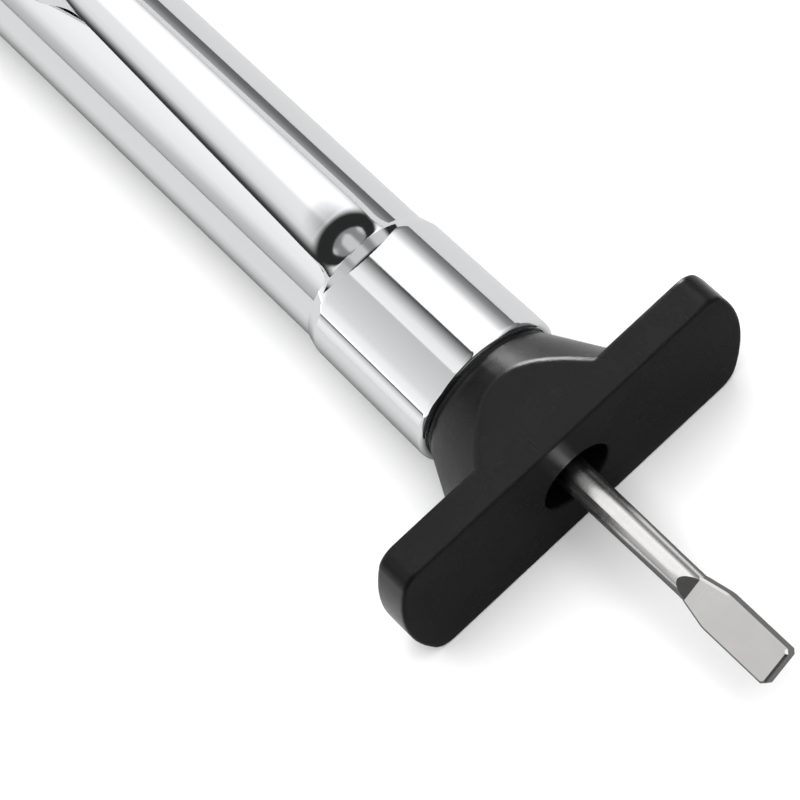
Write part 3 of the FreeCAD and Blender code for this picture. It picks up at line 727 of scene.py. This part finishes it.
class GAUGE_OT_bar(bpy.types.Operator):
    """Paints the indicator bar and its button and prints the scale"""

    bl_idname = "gauge.add_bar"
    bl_label = "Indicator bar"

    def execute(self, context):
        settings = context.scene.gauge_scale
        paint_node("indicator_bar", finish_named("White nylon"))
        paint_node("bar_button", finish_named("Black plastic"))
        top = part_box("indicator_bar")[1].z
        cap_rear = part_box("end_cap")[0].x
        zero = cap_rear + settings.reach
        half_tick = settings.tick_width / 2
        verts, faces = [], []

        def add(part):
            part_verts, part_faces = part
            start = len(verts)
            verts.extend(part_verts)
            faces.extend(tuple(start + i for i in face) for face in part_faces)

        upright = Matrix.Rotation(math.pi / 2, 4, "Z")
        for reading in range(int(settings.full_reach / MM) + 1):
            numbered = reading % READINGS_PER_NUMBER == 0
            x = zero - reading * MM
            reach = settings.long_tick_length if numbered else settings.tick_length
            add(box_mesh((x - half_tick, top - reach, top - 2 * settings.ink_depth),
                         (x + half_tick, top, top - settings.ink_depth)))
            if numbered and reading:
                number_verts, number_faces = number_mesh(str(reading), settings.number_height)
                turned = Matrix.Translation((x + settings.number_offset,
                                             settings.number_inset - top,
                                             top + settings.number_lift)) @ upright
                add(([tuple(turned @ v) for v in number_verts], number_faces))
        marks = new_object("scale_marks", verts, faces)
        finish_piece(marks, finish_named("Ink"), "slider")
        return {"FINISHED"}


# Stage


def add_ramp(tree, share, stops):
    """Greys along a share, given as (place from 0 to 1, level)."""
    ramp = add_node(tree, "ShaderNodeValToRGB", Fac=share)
    points = ramp.color_ramp.elements
    points[0].position = stops[0][0]
    points[1].position = stops[-1][0]
    for place, _ in stops[1:-1]:
        points.new(place)
    for point, (_, level) in zip(points, stops):
        point.color = grey(level)
    return ramp.outputs["Color"]


def grey_bands(tree, share, bands, limit=BEARING_LIMIT):
    """Greys on both sides of a middle, given as (place between the two limits, level)."""
    return add_ramp(tree, share, [((place / limit + 1) / 2, level) for place, level in bands])


def bearing_share(tree, coordinates):
    """Bearing about the panel's axis, as a share of the range between the two limits."""
    place = add_node(tree, "ShaderNodeSeparateXYZ", Vector=coordinates)
    bearing = add_node(tree, "ShaderNodeMath", {"operation": "ARCTAN2"},
                       _0=place.outputs["Y"], _1=place.outputs["Z"])
    limit = math.radians(BEARING_LIMIT)
    return share_of(tree, bearing.outputs[0], -limit, limit)


def distance(tree, coordinates):
    """Distance from the object's origin."""
    return add_node(tree, "ShaderNodeVectorMath", {"operation": "LENGTH"},
                    _0=coordinates).outputs["Value"]


def slope_step(tree, coordinates, start, end):
    """Share from 0 to 1 by the slope along the gauge's axis, seen from the gauge."""
    place = add_node(tree, "ShaderNodeSeparateXYZ", Vector=coordinates)
    slope = add_node(tree, "ShaderNodeMath", {"operation": "DIVIDE"},
                     _0=place.outputs["X"], _1=distance(tree, coordinates))
    return share_of(tree, slope.outputs[0], start, end, "SMOOTHSTEP")


def paint_collar(tree, coordinates):
    """Bands for the clip's collar."""
    return grey_bands(tree, bearing_share(tree, coordinates), [
        (CARD_SEAM, 0.87), (-78, 0.78), (-70, 0.64), (-55, 0.57), (-39, 0.52), (-23.5, 0.48),
        (-22.3, 0.80), (-10, 0.73), (-3.5, 0.54), (3.4, 0.31), (11, 0.07), (12.6, 0.05),
        (13.5, 0.95), (57, 0.95), (66, 0.55), (77, 0.23), (87, 0.12)])


def paint_under_collar(tree, coordinates):
    """Bands in place of the floor beside the collar, with a dark line along their top."""
    return grey_bands(tree, bearing_share(tree, coordinates), [
        (UNDER_CARD_END, 0.66), (-103, 0.76), (-101, 0.72), (-99.4, 0.65), (-97.7, 0.57),
        (-96, 0.50), (-94.5, 0.42), (-93.6, 0.15), (-92.3, 0.05), (-91.8, 0.05),
        (CARD_SEAM, 0.87)])


def paint_tongue(tree, coordinates):
    """Bands for the clip's tongue, with dark for its crest and patches for its neck."""
    bands = grey_bands(tree, bearing_share(tree, coordinates), [
        (-HORIZON, 0.0), (-82, 0.06), (-72, 0.28), (-58, 0.62), (-40, 0.70), (-12, 0.72),
        (0, 1.0), (66, 1.0), (80, 0.75), (HORIZON, 0.40)])
    patches = add_node(tree, "ShaderNodeTexNoise", Vector=coordinates, Scale=0.9, Detail=1.0)
    for_neck = add_ramp(tree, patches.outputs["Fac"], [
        (0.0, 0.10), (0.42, 0.22), (0.48, 0.50), (1.0, 0.60)])
    crest = blend(tree, slope_step(tree, coordinates, 0.16, 0.10), for_neck, DARK)
    return blend(tree, slope_step(tree, coordinates, -0.14, -0.32), crest, bands)


def paint_tent(tree, coordinates):
    """Bands for all other pieces, in four sets from the rear to the front."""
    share = bearing_share(tree, coordinates)
    colour = grey_bands(tree, share, [
        (-HORIZON, 0.36), (-60, 0.74), (-10, 0.80), (20, 0.50), (48, 0.60), (62, 1.0),
        (HORIZON, 1.0)])
    for start, end, bands in (
            (-0.82, -0.74, [
                (-HORIZON, 0.0), (-88.6, 0.36), (-86, 0.40), (-76, 0.48), (-68, 0.62),
                (-60, 0.74), (-37, 0.80), (-20, 0.80), (-6, 0.52), (20, 0.50), (32, 0.85),
                (45, 0.80), (66, 0.36), (80, 0.14), (HORIZON, 0.10)]),
            (-0.40, -0.34, [
                (-HORIZON, 0.10), (-80, 0.30), (-62, 0.47), (-34, 0.47), (-22, 0.85),
                (35, 0.90), (48, 0.30), (62, 0.08), (78, 0.40), (HORIZON, 0.90)]),
            (0.06, 0.14, [
                (-HORIZON, 0.30), (-72, 0.05), (-30, 0.05), (-16, 0.60), (0, 0.95), (30, 0.95),
                (44, 0.40), (58, 0.06), (70, 0.30), (HORIZON, 0.60)])):
        colour = blend(tree, slope_step(tree, coordinates, start, end), colour,
                       grey_bands(tree, share, bands))
    return colour


def panel_material(name, glow, paint, beyond):
    """Glowing material in painted colours, with the colour in which it lets light through."""
    material = bpy.data.materials.new(name)
    material.use_nodes = True
    tree = material.node_tree
    tree.nodes.clear()
    coordinates = add_node(tree, "ShaderNodeTexCoord").outputs["Object"]
    light = add_node(tree, "ShaderNodeEmission", Color=paint(tree, coordinates), Strength=glow)
    clear = add_node(tree, "ShaderNodeBsdfTransparent", Color=beyond)
    both = add_node(tree, "ShaderNodeAddShader", _0=light.outputs[0], _1=clear.outputs[0])
    end = add_node(tree, "ShaderNodeOutputMaterial")
    tree.links.new(both.outputs[0], end.inputs["Surface"])
    return material


def add_panel(name, radius, level, ends, bearings, glow, paint, beyond=WHITE, steps=96):
    """Glowing part of a tube along the gauge, between two ends and two bearings in degrees."""
    first, last = bearings
    verts, faces = [], []
    for i in range(steps + 1):
        turn = math.radians(first + (last - first) * i / steps)
        verts += [(x, radius * math.sin(turn), radius * math.cos(turn)) for x in ends]
    for i in range(steps):
        faces.append((2 * i, 2 * i + 1, 2 * i + 3, 2 * i + 2))
    panel = new_object(name, verts, faces)
    panel.location.z = level
    panel.visible_camera = False
    panel.visible_shadow = False
    panel.data.materials.append(panel_material(name, glow, paint, beyond))
    return panel


def shine_only_on(source, lit):
    """Let a panel or a lamp light only the given pieces."""
    pieces = bpy.data.collections.new("lit_by_" + source.name)
    for obj in lit:
        pieces.objects.link(obj)
    source.light_linking.receiver_collection = pieces


def area_lamp(name, place, size, power):
    """Square lamp that shines on the gauge, unseen by the camera."""
    data = bpy.data.lights.new(name, "AREA")
    data.shape = "SQUARE"
    data.size = size
    data.energy = power
    lamp = bpy.data.objects.new(name, data)
    lamp.location = place
    lamp.rotation_mode = "QUATERNION"
    lamp.rotation_quaternion = Vector(place).to_track_quat("Z", "Y")
    lamp.visible_camera = False
    bpy.context.scene.collection.objects.link(lamp)
    return lamp


def add_floor(settings, level):
    """White paper, which metal mirrors in greys with painted shade beside the gauge and ahead of it.
    """
    half = settings.floor_size / 2
    floor = new_object("floor", [(-half, -half, level), (half, -half, level),
                                 (half, half, level), (-half, half, level)], [(0, 1, 2, 3)])
    tree, shader = surface("Paper", (0.92, 0.92, 0.92), Specular_IOR_Level=0.0)
    coordinates = add_node(tree, "ShaderNodeTexCoord").outputs["Object"]
    place = add_node(tree, "ShaderNodeSeparateXYZ", Vector=coordinates)
    beside = share_of(tree, place.outputs["Y"], -settings.shade_reach, settings.shade_reach)
    # Painted shade: the floor that metal mirrors is darker beside the gauge and ahead of it.
    shaded = grey_bands(tree, beside, [
        (-0.88, 0.56), (-0.64, 0.47), (-0.48, 0.34), (-0.26, 0.19), (0.0, 0.19), (0.24, 0.54)],
        limit=1)
    ahead = share_of(tree, place.outputs["X"], settings.dark_start, settings.dark_end,
                     "SMOOTHSTEP")
    greys = blend(tree, ahead, shaded, grey(settings.dark_grey))
    near = add_node(tree, "ShaderNodeBsdfDiffuse", Color=greys)
    far = add_node(tree, "ShaderNodeEmission", Color=greys, Strength=settings.floor_glow)
    away = share_of(tree, distance(tree, coordinates), settings.glow_start, settings.glow_end,
                    "SMOOTHSTEP")
    mirrored = add_node(tree, "ShaderNodeMixShader", _0=away, _1=near.outputs[0],
                        _2=far.outputs[0])
    path = add_node(tree, "ShaderNodeLightPath")
    mix = add_node(tree, "ShaderNodeMixShader", _0=path.outputs["Is Glossy Ray"],
                   _1=shader.outputs[0], _2=mirrored.outputs[0])
    tree.links.new(mix.outputs[0], tree.nodes["Material Output"].inputs["Surface"])
    floor.data.materials.append(bpy.data.materials["Paper"])
    return floor


def add_panels(settings, level):
    """Tents and cards whose glow the pieces mirror."""
    collar = bpy.data.objects["clip_collar"]
    tongue = bpy.data.objects["clip_tongue"]
    others = [obj for obj in bpy.data.objects
              if obj.type == "MESH" and obj not in (collar, tongue)]
    ends = (settings.tent_rear, settings.tent_front)
    light_tent = add_panel("light_tent", settings.tent_radius, level, ends,
                           (-HORIZON, HORIZON), settings.glow, paint_tent)
    tongue_tent = add_panel("tongue_tent", settings.tent_radius / 2, level, ends,
                            (-HORIZON, HORIZON), settings.glow, paint_tongue)
    collar_card = add_panel("collar_card", settings.card_radius, settings.card_level,
                            (settings.card_rear, settings.card_front),
                            (CARD_SEAM, CARD_END), settings.glow, paint_collar)
    under_card = add_panel("under_card", settings.card_radius, settings.card_level,
                           (settings.under_card_rear, settings.under_card_front),
                           (UNDER_CARD_END, CARD_SEAM), settings.glow, paint_under_collar,
                           beyond=DARK)
    shine_only_on(light_tent, others)
    shine_only_on(tongue_tent, [tongue])
    shine_only_on(collar_card, [collar])
    for panel in (tongue_tent, collar_card, under_card):
        panel.visible_diffuse = False
        panel.visible_transmission = False
    return light_tent, tongue_tent, collar_card, under_card


def white_world():
    """World that is white to the camera and gives no light."""
    world = bpy.data.worlds.new("White studio")
    world.use_nodes = True
    tree = world.node_tree
    tree.nodes.clear()
    path = add_node(tree, "ShaderNodeLightPath")
    glow = add_node(tree, "ShaderNodeBackground", Color=WHITE,
                    Strength=path.outputs["Is Camera Ray"])
    end = add_node(tree, "ShaderNodeOutputWorld")
    tree.links.new(glow.outputs[0], end.inputs["Surface"])
    return world


def add_camera(settings):
    """Camera at the photograph's viewing angle."""
    right = Vector(settings.camera_right).normalized()
    down = Vector(settings.camera_down)
    down = (down - right * down.dot(right)).normalized()
    back = -right.cross(down)
    data = bpy.data.cameras.new("camera")
    data.lens = settings.lens
    data.sensor_width = SENSOR_WIDTH
    data.clip_start = settings.clip_start
    camera = bpy.data.objects.new("camera", data)
    axes = Matrix((right, -down, back)).transposed().to_4x4()
    camera.matrix_world = Matrix.Translation(settings.camera_place) @ axes
    bpy.context.scene.collection.objects.link(camera)
    return camera


class GAUGE_OT_stage(bpy.types.Operator):
    """Adds the floor, the tents and cards, the lamps, the white world and the camera"""

    bl_idname = "gauge.add_stage"
    bl_label = "Stage"

    def execute(self, context):
        scene = context.scene
        settings = scene.gauge_stage
        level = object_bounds()[0].z
        floor = add_floor(settings, level)
        panels = add_panels(settings, level)
        lamp = area_lamp("top_lamp", settings.lamp_place, settings.lamp_size,
                         settings.lamp_power)
        lamp.visible_glossy = False
        edge_lamp = area_lamp("edge_lamp", settings.edge_lamp_place, settings.edge_lamp_size,
                              settings.edge_lamp_power)
        shine_only_on(edge_lamp, [NODES["foot"]])
        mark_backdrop(floor, *panels, lamp, edge_lamp)
        scene.world = white_world()
        scene.camera = add_camera(settings)
        scene.view_settings.view_transform = "Standard"
        return {"FINISHED"}


class GAUGE_PT_panel(bpy.types.Panel):
    """Buttons for the gauge's pieces"""

    bl_idname = "GAUGE_PT_panel"
    bl_label = "Tread depth gauge"
    bl_space_type = "VIEW_3D"
    bl_region_type = "UI"
    bl_category = "Gauge"

    def draw(self, context):
        for settings, operators in PANEL_ROWS:
            box = self.layout.box()
            for operator in operators:
                box.operator(operator.bl_idname)
            group = getattr(context.scene, settings)
            for key in group.__annotations__:
                box.prop(group, key)


SETTINGS = {
    "gauge_barrel": GaugeBarrelSettings,
    "gauge_clip": GaugeClipSettings,
    "gauge_scale": GaugeScaleSettings,
    "gauge_stage": GaugeStageSettings,
}
OPERATORS = [GAUGE_OT_barrel, GAUGE_OT_clip, GAUGE_OT_foot, GAUGE_OT_probe, GAUGE_OT_bar,
             GAUGE_OT_stage]
PANEL_ROWS = [
    ("gauge_barrel", [GAUGE_OT_barrel, GAUGE_OT_foot, GAUGE_OT_probe]),
    ("gauge_clip", [GAUGE_OT_clip]),
    ("gauge_scale", [GAUGE_OT_bar]),
    ("gauge_stage", [GAUGE_OT_stage]),
]


def register():
    """Register the settings, the operators and the panel."""
    for name, group in SETTINGS.items():
        bpy.utils.register_class(group)
        setattr(bpy.types.Scene, name, bpy.props.PointerProperty(type=group))
    for item in OPERATORS + [GAUGE_PT_panel]:
        bpy.utils.register_class(item)


def unregister():
    """Take everything that register() added away again."""
    for item in reversed(OPERATORS + [GAUGE_PT_panel]):
        bpy.utils.unregister_class(item)
    for name, group in SETTINGS.items():
        delattr(bpy.types.Scene, name)
        bpy.utils.unregister_class(group)


def main():
    """Build the gauge and its studio."""
    register()
    bpy.ops.gauge.add_barrel()
    bpy.ops.gauge.add_clip()
    bpy.ops.gauge.add_foot()
    bpy.ops.gauge.add_probe()
    bpy.ops.gauge.add_bar()
    bpy.ops.gauge.add_stage()


if __name__ == "__main__":
    main()
